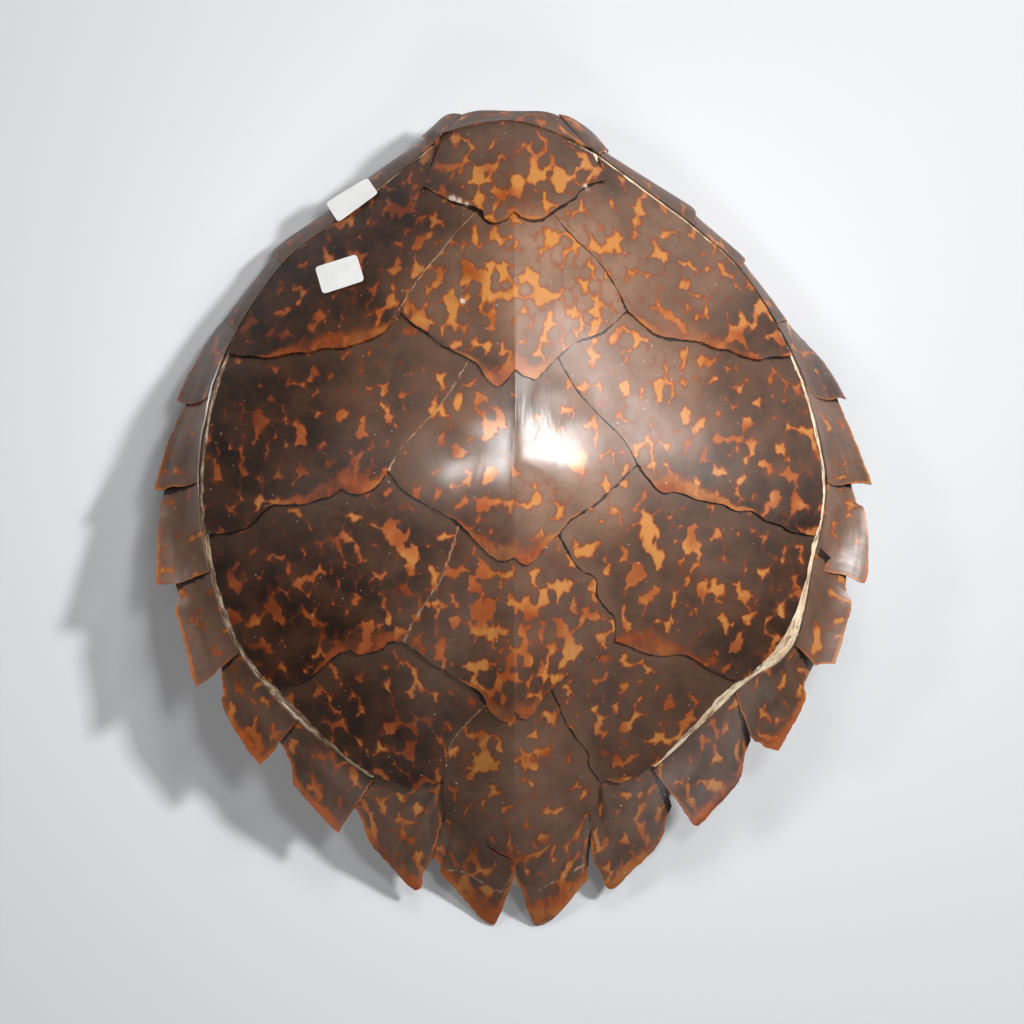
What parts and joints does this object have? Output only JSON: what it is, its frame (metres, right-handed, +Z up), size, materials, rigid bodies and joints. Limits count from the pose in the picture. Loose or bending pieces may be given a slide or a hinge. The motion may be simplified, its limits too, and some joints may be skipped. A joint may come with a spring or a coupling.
{
  "type": "sea turtle shell",
  "caption": "Upper shell of a sea turtle: mottled horn scutes lapped over a domed bone, with a keel, a serrated rear rim and a bare bone seam.",
  "frame": {"origin": "centre of the shell's footprint box, on the ground the shell rests on", "axes": "+Z up through the dome, +Y towards the head end, +X towards the animal's right side"},
  "size_m": [0.5014, 0.573, 0.1599],
  "materials": {
    "scute_horn": "satin",
    "edge_scute_horn": "satin",
    "dried_bone": "matte",
    "label_paper": "matte"
  },
  "bodies": {
    "root": {"carapace_bone": "dried_bone", "nuchal_scute": "scute_horn", "vertebral_scute_1": "scute_horn", "vertebral_scute_2": "scute_horn", "vertebral_scute_3": "scute_horn", "vertebral_scute_4": "scute_horn", "vertebral_scute_5": "scute_horn", "costal_scute_left_1": "scute_horn", "costal_scute_left_2": "scute_horn", "costal_scute_left_3": "scute_horn", "costal_scute_left_4": "scute_horn", "costal_scute_right_1": "scute_horn", "costal_scute_right_2": "scute_horn", "costal_scute_right_3": "scute_horn", "costal_scute_right_4": "scute_horn", "marginal_scute_left_1": "edge_scute_horn", "marginal_scute_left_2": "edge_scute_horn", "marginal_scute_left_3": "edge_scute_horn", "marginal_scute_left_4": "edge_scute_horn", "marginal_scute_left_5": "edge_scute_horn", "marginal_scute_left_6": "edge_scute_horn", "marginal_scute_left_7": "edge_scute_horn", "marginal_scute_left_8": "edge_scute_horn", "marginal_scute_left_9": "edge_scute_horn", "marginal_scute_left_10": "edge_scute_horn", "marginal_scute_left_11": "edge_scute_horn", "marginal_scute_right_1": "edge_scute_horn", "marginal_scute_right_2": "edge_scute_horn", "marginal_scute_right_3": "edge_scute_horn", "marginal_scute_right_4": "edge_scute_horn", "marginal_scute_right_5": "edge_scute_horn", "marginal_scute_right_6": "edge_scute_horn", "marginal_scute_right_7": "edge_scute_horn", "marginal_scute_right_8": "edge_scute_horn", "marginal_scute_right_9": "edge_scute_horn", "marginal_scute_right_10": "edge_scute_horn", "marginal_scute_right_11": "edge_scute_horn", "supracaudal_scute_left": "edge_scute_horn", "supracaudal_scute_right": "edge_scute_horn", "paper_label_side": "label_paper", "paper_label_front": "label_paper"}
  },
  "joints": []
}
